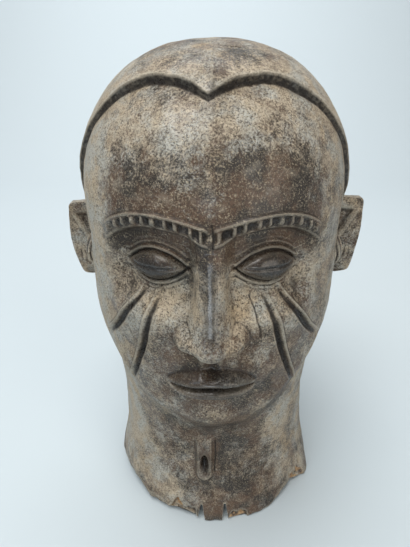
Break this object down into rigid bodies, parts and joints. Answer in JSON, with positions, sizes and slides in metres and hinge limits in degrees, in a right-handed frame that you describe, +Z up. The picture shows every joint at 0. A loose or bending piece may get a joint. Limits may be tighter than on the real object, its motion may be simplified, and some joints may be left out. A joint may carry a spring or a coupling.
{
  "type": "carved wooden crest mask",
  "caption": "Hollow carved wooden head and neck crest mask with a raised hair cap, notched brow bands, cheek and chin scars and plate-like ears, standing on its neck rim",
  "frame": {"origin": "on the floor under the middle of the whole head, seen from above, at the level of the neck rim's underside", "axes": "+Z up to the crown, the face looks along -Y, +X to the viewer's right"},
  "size_m": [0.237, 0.2439, 0.36],
  "materials": {
    "patinated_wood": "dark brown-black patina under grey-ochre dust, rubbed to a soft gloss on the high points"
  },
  "bodies": {
    "root": {"carved_head": "patinated_wood"}
  },
  "joints": []
}
